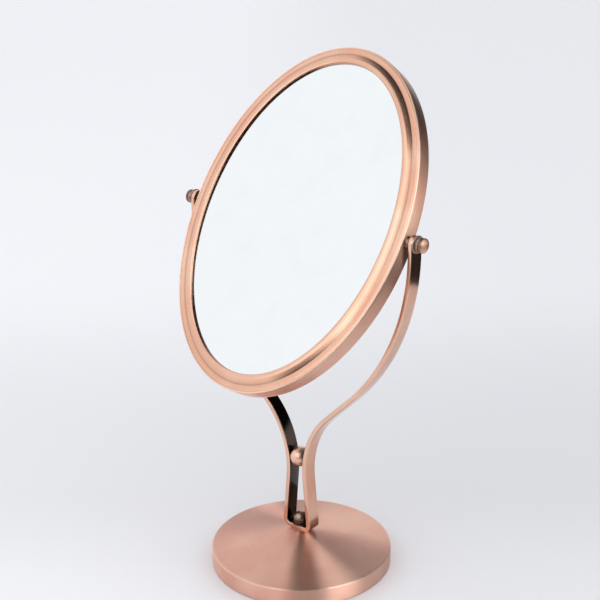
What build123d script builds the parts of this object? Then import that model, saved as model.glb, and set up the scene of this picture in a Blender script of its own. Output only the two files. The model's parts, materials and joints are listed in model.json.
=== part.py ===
from build123d import *

import os
from math import cos, radians, sin

# A tabletop vanity mirror: an oval mirror head that turns in a lyre-shaped yoke on a weighted round base.
# Millimetres. The origin is the centre of the base's underside, +Z is up, X runs along the tilt axis,
# and the user sits towards -Y.

# Running clearance between a turning part and its seat, and the clearance of a fixed part in its seat.
running_gap = 0.05
fitted_gap = 0.05

# Base
base_radius = 58.75
base_edge_height = 11.3
base_top_height = 22.0
base_flat_radius = 6.8
base_edge_round = 0.8
base_skin = 1.2
base_lift = 0.5
pad_thickness = 1.2
pad_inset = 4.0
weight_inset = 0.4
weight_height = 9.0
weight_hub_radius = 6.5
weight_hub_round = 2.0

# Centre bolt, its washers and the stack on top of the base
bolt_radius = 2.5
bolt_hole_radius = 2.6
bolt_head_radius = 4.6
bolt_head_height = 3.0
bolt_pocket_radius = 7.5
bolt_pocket_depth = 5.6
bolt_washer_radius = 6.0
bolt_washer_thickness = 1.0
lock_washer_radius = 4.4
lock_washer_thickness = 1.2
lock_washer_slit = 1.0
collar_radius = 6.6
collar_height = 1.0
nut_washer_radius = 6.0
nut_washer_thickness = 0.8
nut_radius = 5.0
nut_skirt_height = 2.4
nut_bore_depth = 5.2

# Yoke, one bent flat bar: the centre line's corners in the XZ plane, from the foot to the arm's tip
pivot_height = 231.3
strap_width = 9.6
strap_thickness = 3.0
arm_reach = 85.9
foot_half_width = 9.94
foot_bend_radius = 3.6
waist_corner = (4.3, 88.2)
waist_bend_radius = 58.0
shoulder_height = 166.4
shoulder_bend_radius = 139.5

# Ball between the arms
ball_height = 73.8
ball_radius = 6.6
ball_seat = 5.56
ball_seat_lean = 8.15
ball_pin_radius = 1.5
ball_pin_half_length = 7.8
ball_pin_socket_end = 7.9

# Mirror head, in the head's own plane: X across, Y up the glass, Z out of the front glass
head_tilt = 32.15
head_half_width = 81.2
head_half_height = 110.7
band_thickness = 1.2
band_half_depth = 5.5
band_corner_round = 0.5
bezel_width = 11.1
bezel_metal = 0.9
bezel_skirt_end = 1.0
notch_half_width = 5.6
notch_half_depth = 4.5
notch_length = 8.0

# Glasses and what lies between them
lip_overlap = 3.7
glass_face = 4.7
front_glass_thickness = 2.5
board_thickness = 1.2
rear_glass_thickness = 2.0
magnifier_radius = 1600.0
foam_width = 11.0

# Tilt pivot, measured out from the middle of the head along the tilt axis
boss_flange_radius = 4.3
boss_flange_start = 77.6
boss_flange_end = 79.75
hub_radius = 3.6
hub_end = 83.7
screw_radius = 2.0
screw_head_radius = 3.3
screw_head_height = 1.7
screw_end = 91.9
friction_washer_radius = 4.1
thrust_washer_radius = 5.2
thrust_washer_thickness = 0.8
spring_washer_radius = 3.7
spring_washer_height = 0.9
spring_washer_thickness = 0.5
thumb_nut_radius = 4.4
thumb_nut_collar = 1.5
thumb_nut_groove = 0.4
thumb_nut_groove_depth = 0.4
thumb_nut_cap = 1.22
thumb_nut_edge_radius = 1.3
thumb_nut_edge_turn = 78
thumb_nut_bore_end = 92.4

os.makedirs("parts", exist_ok=True)


def save(part, name):
    """Label a finished piece and write it as its own file."""
    part.label = name
    export_step(part, f"parts/{name}.step")


# ---------------------------------------------------------------- base

edge_inner_radius = base_radius - base_skin
cone_fall = (base_top_height - base_edge_height) / (base_radius - base_flat_radius)
skin_inner_edge_height = base_edge_height - base_skin + cone_fall * base_skin

with BuildPart() as base_shell:
    with BuildSketch(Plane.XZ):
        with BuildLine():
            FilletPolyline(
                (bolt_hole_radius, base_top_height),
                (base_flat_radius, base_top_height),
                (base_radius, base_edge_height),
                (base_radius, base_lift),
                (edge_inner_radius, base_lift),
                (edge_inner_radius, skin_inner_edge_height),
                (base_flat_radius, base_top_height - base_skin),
                (bolt_hole_radius, base_top_height - base_skin),
                radius=[0, 0, base_edge_round, 0, 0, 0, 0, 0],
                close=True,
            )
        make_face()
    revolve(axis=Axis.Z)
save(base_shell.part, "base_shell")

with BuildPart() as base_pad:
    Cylinder(
        base_radius - pad_inset,
        pad_thickness,
        align=(Align.CENTER, Align.CENTER, Align.MIN),
    )
save(base_pad.part, "base_pad")

weight_radius = edge_inner_radius - weight_inset
weight_hub_top = base_top_height - base_skin

with BuildPart() as base_weight:
    with BuildSketch(Plane.XY.offset(pad_thickness)):
        Circle(weight_radius)
    extrude(amount=weight_height - pad_thickness)
    with BuildSketch(Plane.XY.offset(weight_height)):
        Circle(weight_hub_radius)
    extrude(amount=weight_hub_top - weight_height)
    hub_foot = base_weight.edges().filter_by(GeomType.CIRCLE).filter_by_position(
        Axis.Z, weight_height, weight_height
    )
    fillet(hub_foot.sort_by(SortBy.RADIUS)[0], radius=weight_hub_round)
    with BuildSketch(Plane.XY.offset(pad_thickness)):
        Circle(bolt_pocket_radius)
    extrude(amount=bolt_pocket_depth, mode=Mode.SUBTRACT)
    Hole(bolt_hole_radius)
save(base_weight.part, "base_weight")

# ---------------------------------------------------------------- centre bolt and its stack

bolt_washer_bottom = pad_thickness + bolt_pocket_depth - bolt_washer_thickness
lock_washer_bottom = bolt_washer_bottom - lock_washer_thickness
yoke_bottom = base_top_height + collar_height
yoke_floor = yoke_bottom + strap_thickness
nut_bottom = yoke_floor + nut_washer_thickness
bolt_end = nut_bottom + nut_bore_depth - running_gap


def flat_ring(bottom, height, outer_radius, inner_radius):
    """A plain ring around the base's axis."""
    with BuildPart() as ring:
        with BuildSketch(Plane.XY.offset(bottom)):
            Circle(outer_radius)
            Circle(inner_radius, mode=Mode.SUBTRACT)
        extrude(amount=height)
    return ring.part


with BuildPart() as base_bolt:
    with BuildSketch(Plane.XY.offset(lock_washer_bottom - bolt_head_height)):
        RegularPolygon(bolt_head_radius, side_count=6)
    extrude(amount=bolt_head_height)
    with BuildSketch(Plane.XY.offset(lock_washer_bottom)):
        Circle(bolt_radius)
    extrude(amount=bolt_end - lock_washer_bottom)
save(base_bolt.part, "base_bolt")

with BuildPart() as base_lock_washer:
    with BuildSketch(Plane.XY.offset(lock_washer_bottom)):
        Circle(lock_washer_radius)
        Circle(bolt_hole_radius, mode=Mode.SUBTRACT)
        with Locations((lock_washer_radius, 0)):
            Rectangle(lock_washer_radius * 2, lock_washer_slit, mode=Mode.SUBTRACT)
    extrude(amount=lock_washer_thickness)
save(base_lock_washer.part, "base_lock_washer")

save(
    flat_ring(bolt_washer_bottom, bolt_washer_thickness, bolt_washer_radius, bolt_hole_radius),
    "base_bolt_washer",
)
save(flat_ring(base_top_height, collar_height, collar_radius, bolt_hole_radius), "stem_collar")
save(
    flat_ring(yoke_floor, nut_washer_thickness, nut_washer_radius, bolt_hole_radius),
    "cap_nut_washer",
)

nut_dome_start = nut_bottom + nut_skirt_height

with BuildPart() as cap_nut:
    with BuildSketch(Plane.XZ):
        with BuildLine():
            Polyline(
                (0, nut_dome_start + nut_radius),
                (0, nut_bottom + nut_bore_depth),
                (bolt_hole_radius, nut_bottom + nut_bore_depth),
                (bolt_hole_radius, nut_bottom),
                (nut_radius, nut_bottom),
                (nut_radius, nut_dome_start),
            )
            CenterArc((0, nut_dome_start), nut_radius, 0, 90)
        make_face()
    revolve(axis=Axis.Z)
save(cap_nut.part, "cap_nut")

# ---------------------------------------------------------------- yoke and ball

strap_middle = yoke_bottom + strap_thickness / 2
right_arm = [(foot_half_width, strap_middle), waist_corner, (arm_reach, shoulder_height)]
left_arm = [(-x, z) for x, z in reversed(right_arm)]
bends = [foot_bend_radius, waist_bend_radius, shoulder_bend_radius]
ball_plane = Plane(origin=(0, 0, ball_height), z_dir=(1, 0, 0))

with BuildPart() as yoke:
    with BuildSketch(Plane.XZ):
        with BuildLine():
            FilletPolyline(
                (-arm_reach, pivot_height),
                *left_arm,
                *right_arm,
                (arm_reach, pivot_height),
                radius=[*reversed(bends), *bends],
            )
        trace(line_width=strap_thickness)
    extrude(amount=strap_width / 2, both=True)
    for side in (-1, 1):
        eye_inner_face = Plane(
            origin=(side * (arm_reach - strap_thickness / 2), 0, pivot_height),
            x_dir=(0, 1, 0),
            z_dir=(side, 0, 0),
        )
        with BuildSketch(eye_inner_face):
            Circle(strap_width / 2)
        extrude(amount=strap_thickness)
    with Locations(Plane(origin=(0, 0, pivot_height), z_dir=(1, 0, 0))):
        Hole(screw_radius + running_gap)
    # The pin's sockets are blind, so the arms' outer faces stay unbroken.
    with BuildSketch(ball_plane):
        Circle(ball_pin_radius)
    extrude(amount=ball_pin_socket_end, both=True, mode=Mode.SUBTRACT)
    with BuildSketch(Plane.XY.offset(yoke_bottom)):
        Circle(bolt_hole_radius)
    extrude(amount=strap_thickness, mode=Mode.SUBTRACT)
save(yoke.part, "yoke")

lean = radians(ball_seat_lean)

with BuildPart() as spacer_ball:
    with Locations((0, 0, ball_height)):
        Sphere(ball_radius)
    # The ball's flat seats lean outwards with the arms.
    for side in (-1, 1):
        seat = Plane(origin=(side * ball_seat, 0, ball_height), z_dir=(side * cos(lean), 0, -sin(lean)))
        split(bisect_by=seat, keep=Keep.BOTTOM)
    with Locations(ball_plane):
        Hole(ball_pin_radius)
save(spacer_ball.part, "spacer_ball")

with BuildPart() as ball_pin:
    with BuildSketch(ball_plane):
        Circle(ball_pin_radius)
    extrude(amount=ball_pin_half_length, both=True)
save(ball_pin.part, "ball_pin")

# ---------------------------------------------------------------- mirror head

tilt = radians(head_tilt)
head_plane = Plane(
    origin=(0, 0, pivot_height), x_dir=(1, 0, 0), z_dir=(0, -cos(tilt), sin(tilt))
)
# Cross-sections of the rim are drawn where it meets the tilt axis: X inwards from the wall, Y to the front.
rim_section_plane = Plane(
    origin=(head_half_width, 0, pivot_height),
    x_dir=-head_plane.x_dir,
    z_dir=head_plane.y_dir,
)

with BuildLine(head_plane) as rim_path:
    EllipticalCenterArc((0, 0), head_half_width, head_half_height, arc_size=360)
rim_loop = rim_path.wire()

with BuildPart() as rim_band:
    with BuildSketch(rim_section_plane):
        with BuildLine():
            FilletPolyline(
                (0, -band_half_depth),
                (0, band_half_depth),
                (band_thickness, band_half_depth),
                (band_thickness, -band_half_depth),
                radius=[band_corner_round, band_corner_round, 0, 0],
                close=True,
            )
        make_face()
    sweep(path=rim_loop)
    with Locations(Plane(origin=(0, 0, pivot_height), z_dir=(1, 0, 0))):
        Hole(hub_radius)
save(rim_band.part, "rim_band")

# Sections of the bezel as (inwards from the wall, height): a sloped band, a valley, a rounded bead and a lip
skirt_outer = band_thickness + fitted_gap
skirt_inner = skirt_outer + bezel_metal
lip_back = bezel_width - bezel_metal
band_edge = (skirt_outer, 5.42)
band_shoulder = (3.0, 5.66)
valley_edge = (4.9, 5.72)
valley = (5.25, 5.52)
bead_crest = (9.0, 6.95)
bead_end = (10.8, 6.72)
lip_corner = (bezel_width, 6.2)
lip_underside = (lip_back, 5.85)
bead_underside = (9.0, 6.0)
valley_underside = (6.25, 4.65)
band_underside = (skirt_inner, 4.55)

with BuildPart() as front_bezel:
    with BuildSketch(rim_section_plane):
        with BuildLine():
            Polyline(band_edge, band_shoulder, valley_edge, valley)
            ThreePointArc(valley, bead_crest, bead_end)
            Polyline(
                bead_end,
                lip_corner,
                (bezel_width, glass_face),
                (lip_back, glass_face),
                lip_underside,
                bead_underside,
                valley_underside,
                band_underside,
                (skirt_inner, bezel_skirt_end),
                (skirt_outer, bezel_skirt_end),
                band_edge,
            )
        make_face()
    sweep(path=rim_loop)
    # The skirt is notched at both ends of the tilt axis, to pass the pivot bosses.
    with BuildSketch(head_plane):
        with GridLocations(2 * head_half_width, 0, 2, 1):
            Rectangle(notch_length, 2 * notch_half_width)
    extrude(amount=notch_half_depth, both=True, mode=Mode.SUBTRACT)
save(front_bezel.part, "front_bezel")

with BuildPart() as rear_bezel:
    mirror(front_bezel.part, about=head_plane)
save(rear_bezel.part, "rear_bezel")

glass_half_width = head_half_width - bezel_width + lip_overlap
glass_half_height = head_half_height - bezel_width + lip_overlap
board_face = glass_face - front_glass_thickness
board_back = board_face - board_thickness

with BuildPart() as front_glass:
    with BuildSketch(head_plane.offset(board_face)):
        Ellipse(glass_half_width, glass_half_height)
    extrude(amount=front_glass_thickness)
save(front_glass.part, "front_glass")

with BuildPart() as backing_board:
    with BuildSketch(head_plane.offset(board_back)):
        Ellipse(glass_half_width, glass_half_height)
    extrude(amount=board_thickness)
save(backing_board.part, "backing_board")

# The rear glass is slightly hollow, so it magnifies. Its two faces are spheres about one centre behind
# the head, and the tips of the oval touch the rear lip.
magnifier_depth = magnifier_radius - (magnifier_radius**2 - glass_half_height**2) ** 0.5
sphere_centre = head_plane.offset(magnifier_depth - glass_face - magnifier_radius)


def ball_about_centre(radius):
    """A ball about the rear glass's centre of curvature, for cutting."""
    return sphere_centre.location * Sphere(radius)


outer_ball = ball_about_centre(magnifier_radius + rear_glass_thickness)
inner_ball = ball_about_centre(magnifier_radius)
foam_ball = ball_about_centre(magnifier_radius + rear_glass_thickness + fitted_gap)

with BuildPart() as magnifying_glass:
    with BuildSketch(head_plane.offset(board_back)):
        Ellipse(glass_half_width, glass_half_height)
    extrude(amount=-(board_back + glass_face + rear_glass_thickness))
    add(outer_ball, mode=Mode.INTERSECT)
    add(inner_ball, mode=Mode.SUBTRACT)
save(magnifying_glass.part, "magnifying_glass")

with BuildPart() as edge_foam:
    with BuildSketch(head_plane.offset(board_back)):
        Ellipse(glass_half_width, glass_half_height)
        Ellipse(
            glass_half_width - foam_width,
            glass_half_height - foam_width,
            mode=Mode.SUBTRACT,
        )
    extrude(amount=-(board_back + glass_face))
    add(foam_ball, mode=Mode.SUBTRACT)
save(edge_foam.part, "edge_foam")

# ---------------------------------------------------------------- tilt pivots and thumb nuts

eye_inner = arm_reach - strap_thickness / 2
eye_outer = arm_reach + strap_thickness / 2
thrust_washer_start = eye_outer
spring_washer_start = thrust_washer_start + thrust_washer_thickness
thumb_nut_start = spring_washer_start + spring_washer_height + running_gap
thumb_nut_groove_start = thumb_nut_start + thumb_nut_collar
thumb_nut_cap_start = thumb_nut_groove_start + thumb_nut_groove
thumb_nut_shoulder = thumb_nut_cap_start + thumb_nut_cap
thumb_nut_neck = thumb_nut_radius - thumb_nut_groove_depth
# The nut's end is a shallow dome that meets its rounded edge smoothly.
edge_turn = radians(thumb_nut_edge_turn)
thumb_nut_face_edge = thumb_nut_radius - thumb_nut_edge_radius * (1 - cos(edge_turn))
thumb_nut_face_radius = thumb_nut_face_edge / cos(edge_turn)
loose_bore = screw_radius + running_gap


def axis_section(side):
    """A plane through the tilt axis: local X runs outwards along it, on the given side of the head."""
    return Plane(origin=(0, 0, pivot_height), x_dir=(side, 0, 0), z_dir=(0, -1, 0))


def turned(side, outline):
    """A solid turned about the tilt axis from an outline of (distance out, radius) points."""
    with BuildPart() as piece:
        with BuildSketch(axis_section(side)):
            with BuildLine():
                Polyline(*outline, close=True)
            make_face()
        revolve(axis=Axis((0, 0, pivot_height), (1, 0, 0)))
    return piece.part


def turned_ring(side, start, end, outer_radius, inner_radius):
    """A plain ring turned about the tilt axis."""
    return turned(
        side,
        [(start, inner_radius), (start, outer_radius), (end, outer_radius), (end, inner_radius)],
    )


for side, name in ((-1, "left"), (1, "right")):
    pivot_boss = turned(
        side,
        [
            (boss_flange_start, loose_bore),
            (boss_flange_start, boss_flange_radius),
            (boss_flange_end, boss_flange_radius),
            (boss_flange_end, hub_radius - fitted_gap),
            (hub_end, hub_radius - fitted_gap),
            (hub_end, loose_bore),
        ],
    )
    save(pivot_boss, f"{name}_pivot_boss")

    pivot_screw = turned(
        side,
        [
            (boss_flange_start - screw_head_height, 0),
            (boss_flange_start - screw_head_height, screw_head_radius),
            (boss_flange_start, screw_head_radius),
            (boss_flange_start, screw_radius),
            (screw_end, screw_radius),
            (screw_end, 0),
        ],
    )
    save(pivot_screw, f"{name}_pivot_screw")

    friction_washer = turned_ring(
        side, hub_end + running_gap, eye_inner, friction_washer_radius, loose_bore
    )
    save(friction_washer, f"{name}_friction_washer")

    thrust_washer = turned_ring(
        side, thrust_washer_start, spring_washer_start, thrust_washer_radius, loose_bore
    )
    save(thrust_washer, f"{name}_thrust_washer")

    # The conical washer stands on its wide edge and bears on the nut with its narrow one.
    spring_washer = turned(
        side,
        [
            (spring_washer_start, spring_washer_radius),
            (spring_washer_start + spring_washer_thickness, spring_washer_radius),
            (spring_washer_start + spring_washer_height, loose_bore),
            (spring_washer_start + spring_washer_height - spring_washer_thickness, loose_bore),
        ],
    )
    save(spring_washer, f"{name}_spring_washer")

    with BuildPart() as thumb_nut:
        with BuildSketch(axis_section(side)):
            with BuildLine():
                edge = JernArc(
                    (thumb_nut_shoulder, thumb_nut_radius),
                    (1, 0),
                    thumb_nut_edge_radius,
                    -thumb_nut_edge_turn,
                )
                face = JernArc(edge @ 1, edge % 1, thumb_nut_face_radius, thumb_nut_edge_turn - 90)
                Polyline(
                    face @ 1,
                    (thumb_nut_bore_end, 0),
                    (thumb_nut_bore_end, loose_bore),
                    (thumb_nut_start, loose_bore),
                    (thumb_nut_start, thumb_nut_radius),
                    (thumb_nut_groove_start, thumb_nut_radius),
                    (thumb_nut_groove_start, thumb_nut_neck),
                    (thumb_nut_cap_start, thumb_nut_neck),
                    (thumb_nut_cap_start, thumb_nut_radius),
                    edge @ 0,
                )
            make_face()
        revolve(axis=Axis((0, 0, pivot_height), (1, 0, 0)))
    save(thumb_nut.part, f"{name}_thumb_nut")
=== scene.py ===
import json
from math import atan2, cos, hypot, pi, radians, sin, sqrt, tan

import bmesh
import bpy
from mathutils import Matrix, Vector

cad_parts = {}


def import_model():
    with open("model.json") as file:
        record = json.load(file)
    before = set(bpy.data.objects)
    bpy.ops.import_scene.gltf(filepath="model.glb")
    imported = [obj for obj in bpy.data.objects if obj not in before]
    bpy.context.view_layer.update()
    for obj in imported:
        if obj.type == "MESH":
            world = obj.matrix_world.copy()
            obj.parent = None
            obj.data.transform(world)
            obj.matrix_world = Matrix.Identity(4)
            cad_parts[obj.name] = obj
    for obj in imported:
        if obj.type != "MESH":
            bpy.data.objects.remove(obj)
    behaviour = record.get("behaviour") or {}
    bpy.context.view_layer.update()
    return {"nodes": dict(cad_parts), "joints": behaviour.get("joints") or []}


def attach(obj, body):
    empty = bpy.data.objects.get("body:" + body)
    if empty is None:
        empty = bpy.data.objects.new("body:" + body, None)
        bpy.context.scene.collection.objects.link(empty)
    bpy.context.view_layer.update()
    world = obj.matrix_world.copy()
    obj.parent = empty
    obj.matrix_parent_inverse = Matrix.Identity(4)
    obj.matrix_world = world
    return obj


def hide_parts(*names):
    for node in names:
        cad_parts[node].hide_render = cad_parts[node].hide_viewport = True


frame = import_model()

# A tabletop vanity mirror in brushed copper, darkened with patina and painted shade, in the CAD model's
# frame: the origin is the middle of the base's underside, X runs along the tilt axis and the user sits
# towards -Y. Sizes are in millimetres in the outlines below, and in metres once they become meshes.

MM = 0.001

# ---------------------------------------------------------------- places taken from the frame


def joint(name):
    """The record's entry for a joint."""
    return next(j for j in frame["joints"] if j["name"] == name)


PIVOT = Vector(joint("head_tilt")["pos_m"])
TILT = radians(32.15)
HEAD_ACROSS = Vector((1, 0, 0))
HEAD_UP = Vector((0, sin(TILT), cos(TILT)))
HEAD_FRONT = Vector((0, -cos(TILT), sin(TILT)))
ORIGIN = Vector((0, 0, 0))
UP = Vector((0, 0, 1))

# ---------------------------------------------------------------- mesh building

SAME_POINT = 0.001 * MM
ON_SURFACE = 0.02
LATHE_STEPS = 72
HEAD_STEPS = 320
SMOOTH_ANGLE = 32
SMOOTH_ANGLE_WIDE = 40


def swept_mesh(name, rings, closed_path=True, closed_ring=True, cap_ends=False, dark=None, wear_and_highlight=None):
    """A skin over a row of rings, each with the same number of points.

    The UV map "sweep" has U along the path, from 0 to 1, and V across the ring, in metres. Two
    attributes, "dark" and one for wear and highlight, hold one value for each point of the ring, the same
    along the path: how far patina and painted shade darken it, and how far rubbed plating and a painted
    highlight lighten it.
    """
    count = len(rings[0])
    steps = len(rings) if closed_path else len(rings) - 1
    sides = count if closed_ring else count - 1
    across = [0.0]
    middle_ring = rings[len(rings) // 2]
    for j in range(sides):
        across.append(across[-1] + (middle_ring[(j + 1) % count] - middle_ring[j]).length)
    along = [0.0]
    for i in range(steps):
        along.append(along[-1] + (rings[(i + 1) % len(rings)][0] - rings[i][0]).length)
    total = along[-1] or 1.0
    faces = []
    corners = []
    for i in range(steps):
        here, after = i * count, (i + 1) % len(rings) * count
        low_u, high_u = along[i] / total, along[i + 1] / total
        for j in range(sides):
            beside = (j + 1) % count
            low_v, high_v = across[j], across[j + 1]
            faces.append((here + j, after + j, after + beside, here + beside))
            corners += [(low_u, low_v), (high_u, low_v), (high_u, high_v), (low_u, high_v)]
    if cap_ends:
        last = (len(rings) - 1) * count
        faces += [tuple(range(count)), tuple(last + j for j in reversed(range(count)))]
        corners += [(0.0, across[j]) for j in range(count)]
        corners += [(1.0, across[j]) for j in reversed(range(count))]
    mesh = bpy.data.meshes.new(name)
    mesh.from_pydata([tuple(point) for ring in rings for point in ring], [], faces)
    uv = mesh.uv_layers.new(name="sweep")
    for loop, corner in enumerate(corners):
        uv.data[loop].uv = corner
    for attribute, values in (("dark", dark), ("wear_and_highlight", wear_and_highlight)):
        layer = mesh.attributes.new(attribute, "FLOAT", "POINT")
        column = values or [0.0] * count
        layer.data.foreach_set("value", column * len(rings))
    return mesh


def finished(name, mesh, material, body, node, smooth_angle=SMOOTH_ANGLE):
    """Turns a mesh into a piece that rides on a body and stands for a CAD node."""
    edit = bmesh.new()
    edit.from_mesh(mesh)
    bmesh.ops.remove_doubles(edit, verts=edit.verts, dist=SAME_POINT)
    bmesh.ops.delete(edit, geom=[e for e in edit.edges if not e.link_faces], context="EDGES")
    bmesh.ops.delete(edit, geom=[v for v in edit.verts if not v.link_edges], context="VERTS")
    bmesh.ops.recalc_face_normals(edit, faces=edit.faces)
    edit.to_mesh(mesh)
    edit.free()
    mesh.materials.append(material)
    mesh.shade_smooth()
    mesh.set_sharp_from_angle(angle=radians(smooth_angle))
    piece = bpy.data.objects.new(name, mesh)
    bpy.context.scene.collection.objects.link(piece)
    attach(piece, body)
    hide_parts(node)
    return piece


def corner_arc(before, here, after, radius):
    """The arc that rounds a corner: its centre, both ends, its first angle and how far it turns."""
    a, b = (before - here).normalized(), (after - here).normalized()
    half = a.angle(b) / 2
    centre = here + (a + b).normalized() * radius / sin(half)
    start, end = (here + side * radius * cos(half) / sin(half) for side in (a, b))
    first = atan2(start.y - centre.y, start.x - centre.x)
    turn = atan2(end.y - centre.y, end.x - centre.x) - first
    turn = (turn + pi) % (2 * pi) - pi
    return centre, start, end, first, turn


def rounded(corners, segments=5):
    """An outline of (x, y) points from (x, y, radius) corners. A corner with a radius of 0 stays sharp."""
    places = [Vector((x, y)) for x, y, radius in corners]
    result = []
    for i, (x, y, radius) in enumerate(corners):
        if not radius:
            result.append(tuple(places[i]))
            continue
        before, after = places[i - 1], places[(i + 1) % len(places)]
        centre, start, end, first, turn = corner_arc(before, places[i], after, radius)
        for k in range(segments + 1):
            angle = first + turn * k / segments
            result.append((centre.x + radius * cos(angle), centre.y + radius * sin(angle)))
    return result


def curve(start, control, end, segments):
    """Points from start to end along the curve that leaves and arrives towards the control point."""
    points = []
    for k in range(segments + 1):
        t = k / segments
        shares = ((1 - t) ** 2, 2 * t * (1 - t), t**2)
        points.append(tuple(sum(s * c for s, c in zip(shares, axis)) for axis in zip(start, control, end)))
    return points


def lathe(name, outline, origin, axis, steps, dark=None, wear_and_highlight=None):
    """Turns an outline of (radius, height) points in millimetres about an axis through origin."""
    side = Vector((0, 0, 1)) if abs(axis.z) < 0.5 else Vector((1, 0, 0))
    other = axis.cross(side)
    rings = []
    for i in range(steps):
        angle = 2 * pi * i / steps
        out = side * cos(angle) + other * sin(angle)
        rings.append([origin + out * (r * MM) + axis * (h * MM) for r, h in outline])
    return swept_mesh(name, rings, dark=dark, wear_and_highlight=wear_and_highlight)


def lathe_piece(
    name, outline, origin, axis, material, body, node, steps=LATHE_STEPS, dark=None, wear_and_highlight=None
):
    """A turned piece that stands for one CAD node."""
    mesh = lathe(name, outline, origin, axis, steps, dark=dark, wear_and_highlight=wear_and_highlight)
    return finished(name, mesh, material, body, node)


def around_head(name, outline, dark=None, wear_and_highlight=None):
    """Sweeps an outline of (inwards from the wall, forwards) points in millimetres round the oval rim."""
    rings = []
    for i in range(HEAD_STEPS):
        t = 2 * pi * i / HEAD_STEPS
        place = HEAD_ACROSS * (HALF_WIDTH * cos(t)) + HEAD_UP * (HALF_HEIGHT * sin(t))
        outward = HEAD_ACROSS * (HALF_HEIGHT * cos(t)) + HEAD_UP * (HALF_WIDTH * sin(t))
        outward.normalize()
        rings.append([PIVOT + (place - outward * r + HEAD_FRONT * d) * MM for r, d in outline])
    return swept_mesh(name, rings, dark=dark, wear_and_highlight=wear_and_highlight)


def ring_outline(low, high, outer, inner, edge=0.15):
    """The section of a washer or collar whose outer corners are broken."""
    return rounded([(inner, low, 0), (inner, high, 0), (outer, high, edge), (outer, low, edge)], 3)


# ---------------------------------------------------------------- materials


class Nodes:
    """A short way to write node trees: each call makes a node and fills its inputs."""

    def __init__(self, tree):
        self.tree = tree
        tree.nodes.clear()

    def feed(self, socket, value):
        """Links an input to another node's output, or gives it a value of its own."""
        if isinstance(value, bpy.types.NodeSocket):
            self.tree.links.new(value, socket)
        else:
            socket.default_value = value

    def add(self, kind, settings=None, **inputs):
        """A node of any kind. In the names of its inputs, underscores stand for spaces."""
        node = self.tree.nodes.new(kind)
        for key, value in (settings or {}).items():
            setattr(node, key, value)
        for key, value in inputs.items():
            self.feed(node.inputs[key.replace("_", " ")], value)
        return node

    def math(self, operation, a, b=0.0, clamp=False):
        """The result of one operation on one or two numbers."""
        node = self.add("ShaderNodeMath", {"operation": operation, "use_clamp": clamp})
        for socket, value in zip(node.inputs, (a, b)):
            self.feed(socket, value)
        return node.outputs[0]

    def mix(self, factor, a, b):
        """A blend of two colours. These are the node's inputs 6 and 7, and its output 2."""
        node = self.add("ShaderNodeMix", {"data_type": "RGBA"})
        for index, value in ((0, factor), (6, a), (7, b)):
            self.feed(node.inputs[index], value)
        return node.outputs[2]

    def spread(self, value, low, high, to_low, to_high, smooth=True):
        """Maps low to to_low and high to to_high, and holds the value steady beyond them."""
        kind = "SMOOTHSTEP" if smooth else "LINEAR"
        node = self.add("ShaderNodeMapRange", {"interpolation_type": kind})
        for socket, number in zip(node.inputs, (value, low, high, to_low, to_high)):
            self.feed(socket, number)
        return node.outputs[0]


def new_material(name):
    """An empty node material, and the writer for its tree."""
    material = bpy.data.materials.new(name)
    material.use_nodes = True
    return material, Nodes(material.node_tree)


def surface(n, **inputs):
    """Ends a material's tree with its one shader."""
    shader = n.add("ShaderNodeBsdfPrincipled", **inputs)
    n.add("ShaderNodeOutputMaterial", Surface=shader.outputs[0])


def rgb(red, green, blue):
    """A colour given as it looks on a screen, 0 to 255, in the linear form that nodes use."""
    linear = []
    for level in (red, green, blue):
        share = level / 255
        linear.append(((share + 0.055) / 1.055) ** 2.4 if share > 0.04045 else share / 12.92)
    return (*linear, 1.0)


COPPER_DEEP = rgb(222, 163, 135)
COPPER_LIGHT = rgb(244, 192, 163)
# A pale copper, for tone that differs at random and for edges lightened as rubbed plating and a painted
# highlight.
COPPER_PALE_AND_HIGHLIGHT = rgb(254, 220, 194)
# The dark colour for patina and painted shade.
SHADE_AND_PATINA = rgb(34, 26, 24)
SHADE_AND_PATINA_WARM = rgb(92, 56, 42)

COPPER_CLOUD_SCALE = 28.0
MARK_DEPTH = 0.02 * MM
WORN_IN_PLATE = 0.35
WARM_IN_SHADE_AND_PATINA = 0.4
SHADE_AND_PATINA_UNEVENNESS = 0.5
SHADE_AND_PATINA_POLISH = 0.12
LEAST_WEAR_AND_HIGHLIGHT = 0.55
COPPER_ROUGHNESS_SWING = 0.04
PLAIN_ROUGHNESS_SWING = 0.08
BROAD_CLOUDS = 14
FINE_IN_TONE = 0.6
BROAD_IN_TONE = 0.4
SILVER_ROUGHNESS = (0.004, 0.03)


def grain(n, along, across):
    """Brush marks: noise drawn out along the sweep's U and fine across it, with no seam where U closes."""
    uv = n.add("ShaderNodeUVMap", {"uv_map": "sweep"})
    parts = n.add("ShaderNodeSeparateXYZ", Vector=uv.outputs[0])
    angle = n.math("MULTIPLY", parts.outputs[0], 2 * pi)
    x = n.math("MULTIPLY", n.math("COSINE", angle), along)
    y = n.math("MULTIPLY", n.math("SINE", angle), along)
    z = n.math("MULTIPLY", parts.outputs[1], across)
    place = n.add("ShaderNodeCombineXYZ", X=x, Y=y, Z=z)
    noise = n.add("ShaderNodeTexNoise", Vector=place.outputs[0], Scale=1.0, Detail=7.0, Roughness=0.62)
    return noise.outputs[0]


def clouds(n, scale, detail=3.0):
    """Slow tone changes over the whole object."""
    place = n.add("ShaderNodeTexCoord").outputs["Object"]
    noise = n.add("ShaderNodeTexNoise", Vector=place, Scale=scale, Detail=detail, Roughness=0.55)
    return noise.outputs[0]


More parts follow.
